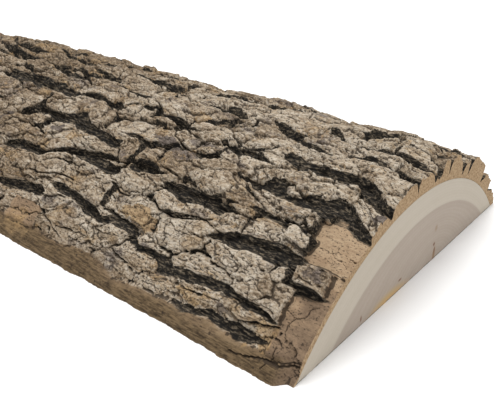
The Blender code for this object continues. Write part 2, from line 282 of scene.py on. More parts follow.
# Channels between the plates, each a line of (u, v, half width)
channels = [
    [(-5, -69, 3.5), (20, -62.5, 3.5), (31, -59, 5), (40, -60, 6.5), (50, -60, 5.5), (65, -63, 4),
     (78, -59, 6), (90, -60, 4), (107, -59, 0.5)],
    [(-5, -48, 5), (14, -41, 5), (27, -36, 5.5), (40, -34, 6.5), (52, -34, 5), (66, -31, 5.5), (80, -29, 6),
     (94, -27, 4), (103, -26, 0.5)],
    [(36, -85, 1), (50, -84, 3), (62, -83, 2.5), (75, -82, 3), (83, -84, 0.5)],
    [(86, -89, 1), (98, -91, 4), (110, -90, 4), (130, -91, 6.5), (145, -92, 4.5), (158, -91, 0.5)],
    [(28, -98, 1), (35, -102, 5.5), (44, -105, 7.5), (54, -106, 8), (66, -107, 6), (78, -107, 7),
     (90, -111, 4), (99, -114, 0.5)],
    [(1, -122, 2), (10, -124, 4), (22, -124.5, 4.5), (33, -122, 2)],
    [(31, -100, 3), (32, -110, 3.2), (31, -121, 3)],
    [(22, -148, 1), (33, -145, 2.5), (46, -143, 3), (72, -139, 2.5), (85, -141, 3.5), (100, -143, 4.5),
     (117, -144, 5), (128, -140, 3), (142, -139, 3.5), (151, -138, 4), (159, -131, 3)],
    [(159, -131, 3), (180, -131, 3), (190, -135, 2.5), (202, -133, 3.5), (216, -131, 4.5), (230, -127, 3.5),
     (245, -126, 3), (257, -124, 0.5)],
    [(26, -163, 1), (36, -162, 3), (48, -162, 3.5), (60, -161, 3.5), (72, -160, 4), (84, -163, 3),
     (108, -168, 0.5)],
    [(157, -84, 1), (167, -85, 3), (178, -83, 5.5), (188, -83, 5.5), (195, -82, 1)],
    [(89, -45, 0.5), (100, -43, 2.5), (112, -40, 4.5), (125, -36, 6), (138, -36, 3)],
    [(138, -36, 1.5), (137, -45, 2), (139, -54, 3)],
    [(123, -56, 0.5), (131, -56, 2), (139, -54, 3.5), (146, -56, 3), (156, -54, 1), (176, -53, 2),
     (186, -58, 3)],
    [(186, -60, 2), (192, -60, 4), (202, -60, 4.5), (212, -57, 3), (222, -58, 2), (233, -58, 0.5)],
    [(201, -62, 3), (198, -74, 3), (199, -86, 3.5), (204, -95, 4)],
    [(204, -95, 4.5), (218, -95, 5.5), (232, -93, 5.5), (249, -91, 5), (259, -94, 4), (269, -98, 2.5),
     (278, -103, 2), (288, -107, 3), (301, -107, 3.5), (315, -106, 4.5), (330, -107, 5), (343, -111, 0.5)],
    [(217, -68, 0.5), (226, -70, 4.5), (240, -70, 6), (258, -67, 6), (273, -64, 5.5), (287, -61, 8),
     (301, -62, 6.5), (318, -64, 5), (335, -65, 4), (345, -69, 7), (353, -74, 5), (360, -83, 3),
     (368, -86, 0.5)],
    [(347, -42, 1.5), (346, -54, 3), (346, -66, 4)],
    [(254, -33, 0.5), (262, -33, 3), (273, -31, 5), (287, -30, 3.5), (301, -27, 3.5), (330, -30, 3.5),
     (344, -28, 6), (358, -29, 8), (373, -30, 9.5), (388, -28, 9.5), (410, -27, 9), (430, -28, 8),
     (443, -35, 0.5)],
    [(166, -29, 0.5), (178, -30, 2.5), (190, -30, 4), (204, -29, 3.5), (217, -31, 4), (226, -31, 3.5)],
    [(219, -26, 2), (229, -20, 3), (241, -21, 2.5), (253, -24, 3), (260, -31, 2)],
    [(255, -133, 0.5), (266, -133, 4), (280, -135, 4), (293, -138, 4.5), (305, -140, 4), (325, -143, 3.5),
     (345, -141, 0.5)],
    [(-5, -8, 4), (14, -6, 4.5), (27, -4, 4.5), (40, 0, 2.5), (53, 2, 3), (63, -1, 2), (72, -7, 3),
     (85, -5, 3.5), (98, 0, 3.5), (110, 6, 5), (124, 14, 3.5), (138, 20, 1)],
    [(-5, 20, 5), (14, 22, 5), (27, 22, 5), (36, 19, 4), (43, 23, 7), (53, 22, 5.5), (66, 22, 3.5),
     (76, 21, 3), (84, 29, 3.5), (91, 38, 4.5), (97, 44, 1)],
    [(140, 6, 1), (148, 10, 4), (158, 2, 4), (170, -7, 3.5), (180, -12, 2), (188, -16, 0.5)],
    [(160, 18, 1), (168, 20, 5), (180, 25, 7), (192, 23, 5), (202, 14, 1)],
    [(106, -20, 1.5), (112, -28, 2.5), (123, -31, 2), (134, -30, 2), (142, -25, 1.5), (149, -17, 1),
     (155, -6, 1)],
    [(427, 5, 1), (438, 9, 5), (452, 10, 4.5), (470, 14, 4), (493, 18, 5), (515, 24, 1)],
    [(398, 28, 1), (410, 33, 5), (422, 40, 4), (436, 46, 1)],
    [(312, 8, 1), (322, 12, 5.5), (335, 15, 3.5), (350, 16, 3), (364, 20, 0.5)],
    [(-5, 45, 4), (12, 45, 4.5), (30, 47, 3), (46, 52, 3.5), (64, 51, 3), (80, 46, 1)],
]

# Lanes of lens-shaped channels where no single one stands out: v, and the u where the lane starts
lanes = {
    "places": [
        (152, -45), (138, -20), (125, -50), (107, -20), (89, -45), (70, -50), (50, 112), (30, 212), (4, 212),
        (28, 455), (6, 530), (-20, 455), (-46, 425), (-70, 380), (-94, 355), (-118, 352), (-142, 356),
        (48, 448),
    ],
    "seed": 11,
    "sway": 5.0,
    "lengths": (60, 130),
    "halfWidths": (3.2, 6.4),
    "gaps": (4, 18),
    "tip": 0.6,
    "fullness": ((0.2, 0.8), (0.5, 1.0), (0.8, 0.7)),
}

# Bare places where plates have come off: u from and to, v from and to, share of thickness left, and how
# much the upper side leans
scars = [
    ((-20, 32), (-101, -70), 0.36, 0.3),
    ((-20, 38), (-81, -66), 0.36, 0.0),
    ((-20, 25), (-190, -120), 0.45, 0.0),
    ((-20, 8), (-122, -100), 0.38, 0.0),
    ((252, 290), (-190, -146), 0.62, 0.0),
]

# Plates that stand whole beside the bare places: u from and to, v from and to, share of thickness
blocks = [
    ((8, 31), (-119, -103), 1.0),
    ((31, 52), (-93, -83), 1.0),
    ((24, 48), (-140, -124), 0.95),
]

# Thin cracks, each a line of (u, v), with its half width and depth in mm
cracks = [
    ([(152, -54), (170, -51), (184, -46), (188, -38)], 0.8, 3.0),
    ([(100, -102), (118, -108), (135, -112), (147, -111)], 0.8, 3.0),
    ([(180, -110), (188, -111), (196, -107)], 1.2, 3.0),
    ([(38, 15), (37, 26), (39, 42)], 1.6, 6.0),
    ([(240, -117), (258, -117), (272, -120), (290, -121)], 0.8, 2.5),
    ([(222, -163), (235, -158), (250, -150), (262, -144)], 1.0, 2.0),
    ([(0, -93), (5, -92), (9, -89), (14, -88), (18, -85), (27, -84)], 0.32, 0.5),
    ([(14, -76), (16, -79), (15, -83), (20, -86)], 0.3, 0.5),
    ([(4, -130), (8, -134), (9, -139), (15, -141), (19, -147), (17, -152), (13, -157)], 0.4, 0.8),
    ([(16, -141), (22, -138), (25, -133)], 0.35, 0.7),
    ([(0, -168), (12, -170), (22, -169), (34, -171), (46, -171)], 1.0, 2.6),
    ([(19, -161), (18, -167), (22, -174)], 0.5, 1.4),
    ([(0, -166), (10, -168), (22, -169), (45, -172)], 0.6, 1.2),
]

# Patches of other colours on the plates: u, v, their reach along and round, how strong
patches = {
    "tan": [
        (163, -121, 20, 9, 1.0), (280, -80, 9, 7, 0.8), (202, -43, 10, 7, 0.7), (190, -12, 13, 8, 0.7),
        (60, -100, 10, 3, 0.4), (100, -70, 12, 5, 0.35), (330, -90, 12, 8, 0.5), (420, -60, 16, 8, 0.4),
        (130, -12, 12, 7, 0.5), (470, -20, 15, 8, 0.4), (250, 40, 16, 9, 0.5), (270, -166, 24, 13, 0.6),
        (205, -152, 18, 7, 0.5), (93, -158, 18, 6, 0.8), (84, -123, 9, 5, 0.35), (40, -153, 22, 7, 0.7),
        (33, -164, 13, 5, 0.9), (112, -124, 9, 6, 0.35), (300, -50, 16, 8, 0.5), (345, 10, 20, 8, 0.6),
        (450, 30, 22, 9, 0.5),
    ],
    "dusk": [
        (168, -60, 14, 8, 1.0), (195, -52, 15, 9, 1.0), (4, -55, 8, 6, 1.0), (300, -78, 8, 6, 0.8),
        (365, -85, 6, 5, 1.0), (215, -5, 14, 7, 0.5), (95, 12, 14, 6, 0.6), (60, -72, 8, 4, 0.5),
        (430, -80, 12, 8, 0.5), (18, -110, 8, 5, 0.55), (66, -156, 9, 5, 0.6), (390, -45, 14, 7, 0.6),
    ],
    "pale": [(44, -131, 34, 17, 1.0), (42, -88, 14, 7, 0.8), (128, -130, 18, 7, 0.5)],
}


def grownChannels():
    draw = random.Random(lanes["seed"])
    grown = []
    for across, start in lanes["places"]:
        along = start + draw.uniform(0, lanes["gaps"][1])
        while along < slab["length"]:
            length = draw.uniform(*lanes["lengths"])
            halfWidth = draw.uniform(*lanes["halfWidths"])
            line = [(along, across + draw.uniform(-lanes["sway"], lanes["sway"]), lanes["tip"])]
            for share, fullness in lanes["fullness"]:
                place = across + draw.uniform(-lanes["sway"], lanes["sway"])
                line.append((along + share * length, place, fullness * halfWidth))
            line.append((along + length, across + draw.uniform(-lanes["sway"], lanes["sway"]), lanes["tip"]))
            grown.append(line)
            along += length + draw.uniform(*lanes["gaps"])
    return grown


def cellTable(length, width, seed, stray):
    # staggered rows of cells over the whole arch, each with where it strays, two tilts and a height
    draw = random.Random(seed)
    lengths = int(slab["length"] / length) + 2
    widths = int(slab["width"] / width / 2) + 3
    table = np.zeros((2 * widths + 1, lengths + 1, 5))
    for j in range(-widths, widths + 1):
        for i in range(-1, lengths):
            strays = [draw.uniform(-most, most) for most in stray]
            tilts = draw.uniform(-1, 1), draw.uniform(-1, 1)
            along = (i + 0.5 * (j % 2) + strays[0]) * length
            table[j + widths, i + 1] = (along, (j + strays[1]) * width, *tilts, draw.random())
    return table


def cellsAround(u, v, length, width, table):
    # yields, for each point, each of the cells near it, and where the point lies in that cell
    rows, columns = table.shape[:2]
    j0 = np.floor(v / width).astype(int) + rows // 2
    i0 = np.floor(u / length).astype(int) + 1
    for dj in range(-1, 3):
        for di in range(-2, 3):
            cell = table[np.clip(j0 + dj, 0, rows - 1), np.clip(i0 + di, 0, columns - 1)]
            yield cell, (u - cell[..., 0]) / length, (v - cell[..., 1]) / width


def nearestCells(u, v, length, width, table):
    # for each point: its cell's tilts and height, where it lies in it, and the mm to its border
    first = np.full(u.shape, 9.0)
    second = np.full(u.shape, 9.0)
    own = np.zeros(u.shape + (7,))
    for cell, run, rise in cellsAround(u, v, length, width, table):
        distance = np.hypot(run, rise)
        closer = distance < first
        same = distance == first
        second = np.where(closer, first, np.where(same, second, np.minimum(second, distance)))
        first = np.where(closer, distance, first)
        own[closer] = np.concatenate([cell, run[..., None], rise[..., None]], axis=-1)[closer]
    return own, (second - first) * 0.5 * width


def highestFlake(u, v, length, width, seed, fray):
    # the top of a litter of thin tilted flakes, from 0 to about 1, and a number of its own for each flake
    table = cellTable(length, width, seed, bark["flakeStray"])
    top = np.zeros(u.shape)
    tint = np.zeros(u.shape)
    for cell, run, rise in cellsAround(u, v, length, width, table):
        tiltU, tiltV, own = cell[..., 2], cell[..., 3], cell[..., 4]
        sides = np.maximum(np.abs(run + 0.4 * tiltU * rise), np.abs(rise + 0.4 * tiltV * run))
        corners = (0.64 + 0.12 * own) * (np.abs(run) + np.abs(rise))
        inside = 0.6 + 0.1 * tiltU - np.maximum(sides, corners) + fray
        level = 0.3 + 0.7 * own + 0.2 * (tiltU * run + tiltV * rise)
        lying = level * smooth(0, 0.035, inside)
        tint = np.where(lying > top, tiltV, tint)
        top = np.maximum(top, lying)
    return top, tint


def softened(values, uSteps, vSteps, reach):
    # the mean over about reach mm each way, taken twice
    for axis, steps in enumerate((uSteps, vSteps)):
        half = max(1, int(round(reach / (steps[1] - steps[0]))))
        for _ in range(2):
            padding = [(0, 0), (0, 0)]
            padding[axis] = (half + 1, half)
            total = np.cumsum(np.pad(values, padding, mode="edge"), axis=axis)
            size = values.shape[axis]
            high = np.take(total, np.arange(2 * half + 1, 2 * half + 1 + size), axis=axis)
            low = np.take(total, np.arange(size), axis=axis)
            values = (high - low) / (2 * half + 1)
    return values


def linesNear(skin, lines):
    # yields, for each stretch of each line, the part of the grid it can reach, its distances and widths
    for line in lines:
        for (u0, v0, w0), (u1, v1, w1) in zip(line, line[1:]):
            reach = 1.3 * max(w0, w1) + 19  # ledges, strays and bends included
            i0, i1 = np.searchsorted(skin.uSteps, (min(u0, u1) - reach, max(u0, u1) + reach))
            j0, j1 = np.searchsorted(skin.vSteps, (min(v0, v1) - reach, max(v0, v1) + reach))
            if i0 == i1 or j0 == j1:
                continue
            part = np.s_[i0:i1, j0:j1]
            awayU = skin.a[part] - u0
            awayV = skin.c[part] - v0
            run = u1 - u0
            rise = v1 - v0
            t = np.clip((awayU * run + awayV * rise) / (run * run + rise * rise), 0, 1)
            yield part, np.hypot(awayU - t * run, awayV - t * rise), w0 + t * (w1 - w0)


def rowBend(u, v):
    # mm along and round from each point to the place in the plain rows whose relief it shows
    along = np.zeros_like(u)
    around = np.zeros_like(u)
    for shiftAlong, shiftAround, stretchU, stretchV in bends:
        share = hill(u, *stretchU) * hill(v, *stretchV)
        along += shiftAlong * share
        around += shiftAround * share
    return along, around


def startSkin(uSteps, vSteps, thick):
    # a grid over the arch, with the noises that its relief and its colours share; a and c are the places
    # along and round that the relief is read at, which wander and bend
    skin = SimpleNamespace(uSteps=uSteps, vSteps=vSteps)
    u, v = np.meshgrid(uSteps, vSteps, indexing="ij")
    skin.u = u
    skin.v = v
    skin.thick = np.broadcast_to(thick, u.shape)
    skin.along = u + 2.4 * noise(u, v, 55, 26, 1) + 1.3 * noise(u, v, 17, 9, 2) + 0.7 * noise(u, v, 6, 4, 3)
    skin.around = v + 1.8 * noise(u, v, 70, 24, 4) + 1.2 * noise(u, v, 19, 8, 5)
    skin.around += 0.6 * noise(u, v, 6.5, 4, 6)
    bendAlong, bendAround = rowBend(u, v)
    skin.a = skin.along + bendAlong
    skin.c = skin.around + bendAround
    skin.rough = noise(u, v, 5.2, 3.6, 7) + 0.6 * noise(u, v, 2.4, 1.8, 8)
    skin.fibre = noise(u, v, 15, 1.9, 14) + 0.7 * noise(u, v, 6, 1.3, 15)
    skin.jagged = noise(u, v, 4.1, 3.1, 12) + 0.7 * noise(u, v, 2.0, 1.7, 13)
    # small chips, along whose borders the bark crazes and breaks
    size = bark["chipLength"], bark["chipWidth"]
    chips = cellTable(*size, bark["chipSeed"], bark["chipStray"])
    places = skin.a + 0.9 * skin.jagged, skin.c + 0.8 * skin.rough
    skin.chip, skin.chipBorder = nearestCells(*places, *size, chips)
    return skin


def backSwell(u, around):
    # mm that the bark stands over the plain arch on the back
    rise, full, fall, end = bark["backSwellReach"]
    swell = bark["backSwell"] * hill(around, rise, full, fall, end)
    swell = swell * (1 - 0.4 * fade(4, 40, u) * fade(60, 95, around))
    fuller = hill(u, 10, 25, 190, 230) * (1 - 0.9 * hill(u, 48, 64, 105, 125))
    return swell * (1 + 0.45 * fuller) * (1 - 0.8 * smooth(500, 590, u))


def addLedges(skin, distance, sway, chipStray, seedShift, deepness, share):
    # ledges that step down towards a plate's rim or a channel, distance mm away
    for inward, seed, drop in bark["rimLedges"]:
        stray = sway * noise(skin.u, skin.v, 14, 9, seed + seedShift) + 0.6 * chipStray
        rim = distance - inward - stray - 0.35 * skin.jagged
        skin.height -= drop * deepness * fade(-0.2, 0.35, rim)
        # strata mark a band just under each ledge's rim, painted dark later as a shadow line
        skin.strata = np.maximum(skin.strata, share * fade(0.1, 0.7, np.abs(rim + 0.4)))
        skin.edges = np.maximum(skin.edges, share * fade(0.2, 1.0, np.abs(rim - 0.6)))


def raisePlates(skin):
    # plates at their own heights and tilts, with ledges round their rims and splits between them
    u, v, a, c, thick = skin.u, skin.v, skin.a, skin.c, skin.thick
    size = bark["plateLength"], bark["plateWidth"]
    plates = cellTable(*size, bark["plateSeed"], bark["plateStray"])
    own, border = nearestCells(a + 1.3 * skin.jagged, c + skin.rough, *size, plates)
    level = 1 - bark["plateStep"] * own[..., 4]
    level += bark["plateTilt"] * (own[..., 5] * own[..., 2] + own[..., 6] * own[..., 3])
    level = np.minimum(level, 1) - bark["farFall"] * smooth(500, 570, u) * smooth(-30, 10, c)
    worn = np.clip((bark["frontWearStart"] - skin.around) / bark["frontWearSlope"], 0, 1)
    level -= bark["frontWear"] * worn
    standing = np.zeros_like(u)
    for (u0, u1), (v0, v1), share in blocks:
        outside = np.maximum.reduce([u0 - a, a - u1, v0 - c, c - v1])
        whole = fade(-0.7, 0.4, outside + 0.5 * skin.rough)
        level = blendTo(level, share, whole)
        standing = np.maximum(standing, whole)
    skin.plate = own
    skin.standing = standing
    skin.swell = backSwell(u, skin.around)
    skin.top = level * thick + skin.swell
    skin.height = skin.top - bark["shoulderDepth"] * fade(0, bark["shoulder"], border) * (1 - standing)
    skin.strata = np.zeros_like(u)
    skin.edges = np.zeros_like(u)
    layered = smooth(-0.35, 0.15, noise(u, v, 34, 22, 35)) * (1 - standing)
    addLedges(skin, border, 1.1, skin.chip[..., 2], 0, layered, layered)
    splitWidth = bark["splitWidth"] * (1.0 + 0.9 * noise(u, v, 13, 9, 29))
    split = fade(0.25, 1.0, border / np.maximum(splitWidth, 0.15))
    skin.split = split * smooth(-0.05, 0.35, noise(u, v, 19, 14, 9)) * (1 - standing)
    skin.height -= bark["splitDepth"] * skin.split * (0.4 + 0.6 * thick / thick.max())


def layFlakes(skin):
    # layers of flakes, each lying over the next with a broken rim
    flakeTop = np.zeros_like(skin.u)
    skin.flakeTint = np.zeros_like(skin.u)
    for length, width, seed, lift in bark["flakes"]:
        fray = 0.04 * skin.jagged + 0.05 * noise(skin.u, skin.v, length / 4, width / 4, seed + 30)
        layer, tint = highestFlake(skin.a, skin.c, length, width, seed, fray)
        flakeTop += lift * (layer - 0.8)
        skin.flakeTint += tint
    skin.height += flakeTop
    skin.height = np.minimum(skin.height, skin.thick + skin.swell + 0.3 + 0.3 * flakeTop)


def crazePlates(skin):
    # fine cracks inside the plates, and the grain of their tops
    u, v, chip = skin.u, skin.v, skin.chip
    skin.craze = fade(0.1, 0.45, skin.chipBorder) * smooth(0.3, 0.6, noise(u, v, 11, 8, 10))
    skin.height += 0.15 * (chip[..., 4] - 0.5)
    skin.height += 0.2 * (chip[..., 5] * chip[..., 2] + chip[..., 6] * chip[..., 3])
    skin.height -= 0.7 * skin.craze
    skin.height += 0.06 * skin.jagged + 0.06 * noise(u, v, 2.0, 1.8, 11)
    skin.height += 0.5 * noise(u, v, 6, 1.6, 36) * fade(0, 7, u)


def openScars(skin):
    # bare places, where only the smooth inner bark is left, and the scraped strip along the front foot
    u, v, a, c, thick = skin.u, skin.v, skin.a, skin.c, skin.thick
    skin.bare = np.zeros_like(u)
    for (u0, u1), (v0, v1), left, lean in scars:
        outside = np.maximum.reduce([u0 - a, a - u1, v0 - c, c - v1 - lean * a])
        bared = fade(-1.2, 0.2, outside + 0.5 * skin.rough) * (1 - skin.standing)
        foot = smooth(-148, -166, skin.around) * smooth(-4, 14, u)
        floor = blendTo(left, 1.02, foot) * thick
        floor += 0.3 * noise(u, v, 15, 9, 16) + 0.12 * noise(u, v, 4, 3, 17)
        skin.height = blendTo(skin.height, np.maximum(np.minimum(skin.height, floor), floor * foot), bared)
        skin.top = blendTo(skin.top, floor, bared)
        skin.bare = np.maximum(skin.bare, bared)
    skin.strip = smooth(-162, -168, c + 3.0 * noise(u, v, 40, 9, 18)) * smooth(5, 14, u)
    foot = (bark["stripFoot"] - 0.1 * smooth(60, 100, u)) * smooth(-163, -173, skin.around)
    floor = (bark["stripLeft"] + foot) * thick
    floor += 0.2 * skin.fibre + 0.7 * noise(u, v, 26, 8, 19) + 0.35 * skin.jagged + 0.3 * skin.rough
    skin.height = blendTo(skin.height, floor, 0.9 * skin.strip)
    skin.top = blendTo(skin.top, floor, skin.strip)


def cutChannels(skin):
    # channels, whose walls go down by ragged ledges to a fibrous bottom, and which are notches at the cut end
    u, v, chip, fibre = skin.u, skin.v, skin.chip, skin.fibre
    lines = channels + grownChannels()
    inside = smooth(2, 14, u)
    skin.dark = np.zeros_like(u)
    clearance = np.full(u.shape, 9.0)  # mm to the nearest channel's edge
    strays = (chip[..., 2], chip[..., 3], 2 * chip[..., 4] - 1)
    cuts = []
    for (share, shareAtEnd, seed, weight), chipStray in zip(bark["channelLedges"], strays):
        stray = 1.3 * noise(u, v, 16, 8, seed) + 0.35 * noise(u, v, 7, 3, seed + 10)
        stray += 0.25 * fibre + 0.9 * chipStray
        cut = np.zeros_like(u)
        for part, distance, halfWidth in linesNear(skin, lines):
            edge = bark["channelWidth"] * halfWidth * blendTo(shareAtEnd, share, inside[part])
            edge = edge + stray[part] * np.clip(halfWidth / 4, 0.3, 1) * (0.4 + 0.6 * inside[part])
            shallow = np.clip(halfWidth / bark["fullDepthWidth"], 0, 1)
            cut[part] = np.maximum(cut[part], smooth(-0.3, 1.3, edge - distance) * shallow)
            if not cuts:
                clearance[part] = np.minimum(clearance[part], distance - edge + 9 * (1 - shallow))
                # dark marks the inside of each channel: partly the furrows' own dark bark, partly painted
                # shade in the recess
                seen = smooth(-0.4, 0.6, edge - distance) * np.minimum(shallow * 1.6, 1)
                skin.dark[part] = np.maximum(skin.dark[part], seen)
        cuts.append(cut * weight)
    whole = 1 - skin.standing
    depth = sum(cuts) * (1 - 0.85 * skin.standing)
    addLedges(skin, clearance, 1.0, chip[..., 3], 5, 0.9 * whole * (1 - skin.bare) * (1 - skin.strip), whole)
    bottom = bark["channelFloor"] * skin.thick + 1.3
    bottom += 0.5 * fibre + 0.6 * noise(u, v, 9, 4, 20) + 0.6 * skin.rough
    skin.height = blendTo(skin.height, np.minimum(bottom, skin.height), depth)
    skin.height += 0.28 * fibre * hill(depth, 0.1, 0.5, 0.9, 1.0)
    skin.depth = depth


def addCracks(skin):
    # the thin cracks, left out where a channel runs
    skin.fine = np.zeros_like(skin.u)
    for line, halfWidth, deep in cracks:
        for part, distance, width in linesNear(skin, [[(u, v, halfWidth) for u, v in line]]):
            gap = fade(0.3, 1.1, distance / width) * (skin.depth[part] < 0.2)
            skin.fine[part] = np.maximum(skin.fine[part], gap * deep)
    skin.height -= skin.fine
    skin.height = np.clip(skin.height, bark["thinnest"], skin.thick + skin.swell + 0.6)


def evenWalls(skin):
    # takes the saw teeth out of steep walls
    steps = skin.uSteps, skin.vSteps
    tilt = softened(np.hypot(*np.gradient(skin.height, *steps)), *steps, 0.9)
    skin.wall = smooth(1.5, 2.5, tilt)
    evened = skin.height
    for _ in range(2):
        evened = (np.roll(evened, 1, axis=0) + np.roll(evened, -1, axis=0) + 2 * evened) / 4
    skin.height = blendTo(skin.height, evened, skin.wall)


def topTone(skin, raised):
    # how light each point is, on the scale of the plates' colours
    u, v, c = skin.u, skin.v, skin.c
    tone = 0.44 + tones["chip"] * (skin.chip[..., 4] - 0.5) + tones["plate"] * (skin.plate[..., 4] - 0.5)
    tone += tones["flake"] * skin.flakeTint + tones["drift"] * noise(u, v, 34, 20, 24) + 0.08 * skin.jagged
    # raised rims are painted lighter: partly wear, partly a painted highlight
    tone += tones["rim"] * smooth(0.05, 0.3, raised) + tones["edge"] * skin.edges
    # plates towards the front are painted lighter: painted light where they face away from the lamps
    tone += (0.04 + tones["front"] * smooth(-70, -105, c)) * hill(u, 30, 60, 200, 300)
    tone -= tones["far"] * smooth(200, 460, u) + tones["back"] * smooth(-5, 60, c)
    tone -= tones["standing"] * skin.standing
    bareTone = tones["bare"] + 0.2 * noise(u, v, 9, 6, 34)
    # the bare places are painted darker towards the front, below the standing plates and by the strip: partly
    # dirt, partly painted shadow
    bareTone -= (tones["bareFrontShadeAndDirt"] * smooth(-106, -122, c) + 0.3 * smooth(-158, -166, c)) * (u < 100)
    return blendTo(tone, bareTone, skin.bare)


def patchShares(skin):
    # the shares of other colours on the plates
    u, v, a, c = skin.u, skin.v, skin.a, skin.c
    shares = {}
    fray = 0.45 * noise(u, v, 8, 6, 25) + 0.12 * skin.jagged
    for which, spots in patches.items():
        share = np.zeros_like(u)
        for middleU, middleV, reachU, reachV, strength in spots:
            far = np.hypot((skin.along - middleU) / reachU, (skin.around - middleV) / reachV)
            share = np.maximum(share, strength * fade(0.6, 1.05, far + fray))
        shares[which] = share
    covered = (1 - skin.bare) * (1 - skin.strip)
    warm = (0.45 + 0.15 * smooth(180, 260, u)) * smooth(0.45, 0.75, noise(a, c, 21, 11, 26))
    broken = 0.6 * hill(skin.depth, 0.03, 0.1, 0.3, 0.6) * smooth(-0.1, 0.4, noise(u, v, 9, 6, 28))
    rims = 0.6 * skin.edges * smooth(-0.1, 0.35, noise(u, v, 15, 9, 38))
    for share in (warm, broken, rims):
        shares["tan"] = np.maximum(shares["tan"], share * covered)
    shares["dusk"] = np.maximum(shares["dusk"], 0.5 * smooth(0.45, 0.75, noise(a, c, 23, 12, 27)))
    for which in ("tan", "dusk"):
        shares[which] *= 1 - shares["pale"]
    return shares


def colourShares(skin):
    # colour follows the shape: hollows and steep walls are painted dark as shade, the rims of flakes pale,
    # partly as wear and partly as a painted highlight, and broken edges warm
    u, v, c, depth, wall = skin.u, skin.v, skin.c, skin.depth, skin.wall
    hollow = softened(skin.height, skin.uSteps, skin.vSteps, 0.9) - skin.height
    deepHollow = softened(skin.height, skin.uSteps, skin.vSteps, 4.5) - skin.height
    sunk = (skin.top - skin.height) / skin.thick.max()
    # walls by the saw cut, which face the light, get less of the painted shade
    litWall = fade(9, 14, u) * fade(0.05, 0.3, depth)  # by the saw cut
    # steep walls and the feet of walls are painted dark: painted shade
    steep = np.maximum(0.9 * smooth(1.7, 2.6, deepHollow), 0.85 * wall) * (1 - 0.8 * litWall)
    shade = np.maximum.reduce([skin.dark * (1 - skin.standing), steep, 0.85 * skin.split])
    shade *= (1 - 0.6 * skin.strip) * (1 - 0.5 * skin.bare * (sunk < 0.12) * (wall < 0.3))
    # raised bits in the hollows are spared part of the painted shade
    shade *= 1 - 0.3 * smooth(0.35, 0.8, -hollow)
    # strata are dark lines just under the ledges' rims: painted shadow lines
    strata = skin.strata * smooth(-0.35, 0.1, noise(u, v, 13, 7, 37))
    ledgeLines = 0.6 * np.maximum(skin.craze, strata) * (1 - skin.bare) * (1 - skin.strip)
    # lines: painted shade in small hollows and under ledge rims, with the thin cracks and crazing
    lines = np.maximum.reduce([smooth(0.1, 0.28, hollow), 0.8 * smooth(0, 0.5, skin.fine), ledgeLines])
    shares = patchShares(skin)
    tone = topTone(skin, -hollow) + tones["pale"] * shares["pale"]
    tone -= tones["frontRow"] * smooth(-134, -146, c) * smooth(30, 50, u)
    return {
        "shade": shade,
        "bare": np.maximum(skin.bare, skin.strip),
        "strip": skin.strip,
        "tone": np.clip(tone, 0, 1),
        "lines": np.clip(lines, 0, 1),
        "tan": shares["tan"],
        "dusk": shares["dusk"],
    }


def barkFields(uSteps, vSteps, thick):
    # the height over the wood in mm of every point of a grid, and the shares that colour it
    skin = startSkin(uSteps, vSteps, thick)
    for step in (raisePlates, layFlakes, crazePlates, openScars, cutChannels, addCracks, evenWalls):
        step(skin)
    return skin.height, colourShares(skin)


def feed(tree, socket, value):
    if isinstance(value, bpy.types.NodeSocket):
        tree.links.new(value, socket)
    else:
        socket.default_value = value


def addNode(tree, kind, **inputs):
    node = tree.nodes.new(kind)
    for name, value in inputs.items():
        feed(tree, node.inputs[name.replace("_", " ")], value)
    return node


def attributeOf(tree, name):
    node = tree.nodes.new("ShaderNodeAttribute")
    node.attribute_name = name
    return node.outputs["Fac"]


def objectPlace(tree):
    return tree.nodes.new("ShaderNodeTexCoord").outputs["Object"]


def stretched(tree, scale):
    # object coordinates in metres, each axis scaled
    return addNode(tree, "ShaderNodeMapping", Vector=objectPlace(tree), Scale=scale).outputs["Vector"]


def noiseNode(tree, scale, perMetre, detail=3.0, roughness=0.55, output="Fac"):
    node = addNode(tree, "ShaderNodeTexNoise", Vector=stretched(tree, scale), Scale=perMetre, Detail=detail,
                   Roughness=roughness)
    return node.outputs[output]


def rampNode(tree, factor, stops):
    node = tree.nodes.new("ShaderNodeValToRGB")
    tree.links.new(factor, node.inputs["Fac"])
    marks = node.color_ramp.elements
    while len(marks) < len(stops):
        marks.new(0.5)
    for mark, (place, colour) in zip(marks, stops):
        mark.position = place
        mark.color = colour
    return node.outputs["Color"]


def mathNode(tree, how, *values, kind="ShaderNodeMath"):
    node = tree.nodes.new(kind)
    node.operation = how
    for socket, value in zip(node.inputs, values):
        feed(tree, socket, value)
    return node.outputs[0]


def vectorNode(tree, how, *values):
    return mathNode(tree, how, *values, kind="ShaderNodeVectorMath")


def times(tree, value, share):
    return mathNode(tree, "MULTIPLY", value, share)


def opposite(tree, share):
    return mathNode(tree, "SUBTRACT", 1.0, share)


def blended(tree, *parts):
    # the sum of values, each with its share
    total = times(tree, *parts[0])
    for value, share in parts[1:]:
        total = mathNode(tree, "ADD", total, times(tree, value, share))
    return total


def mixColour(tree, factor, first, second):
    node = tree.nodes.new("ShaderNodeMix")
    node.data_type = "RGBA"
    for place, value in ((0, factor), (6, first), (7, second)):
        feed(tree, node.inputs[place], value)
    return node.outputs[2]


def paintOver(tree, under, share, strength, colour):
    return mixColour(tree, times(tree, share, strength), under, colour)


def rangeOf(tree, value, low, high):
    node = addNode(tree, "ShaderNodeMapRange", Value=value, From_Min=low, From_Max=high)
    node.interpolation_type = "SMOOTHSTEP"
    return node.outputs["Result"]


def frayed(tree, name, grain, reach, low, high):
    # a share that the mesh carries, with its soft edge broken up by a fine grain
    strayed = times(tree, mathNode(tree, "SUBTRACT", grain, 0.5), reach)
    return rangeOf(tree, mathNode(tree, "ADD", attributeOf(tree, name), strayed), low, high)


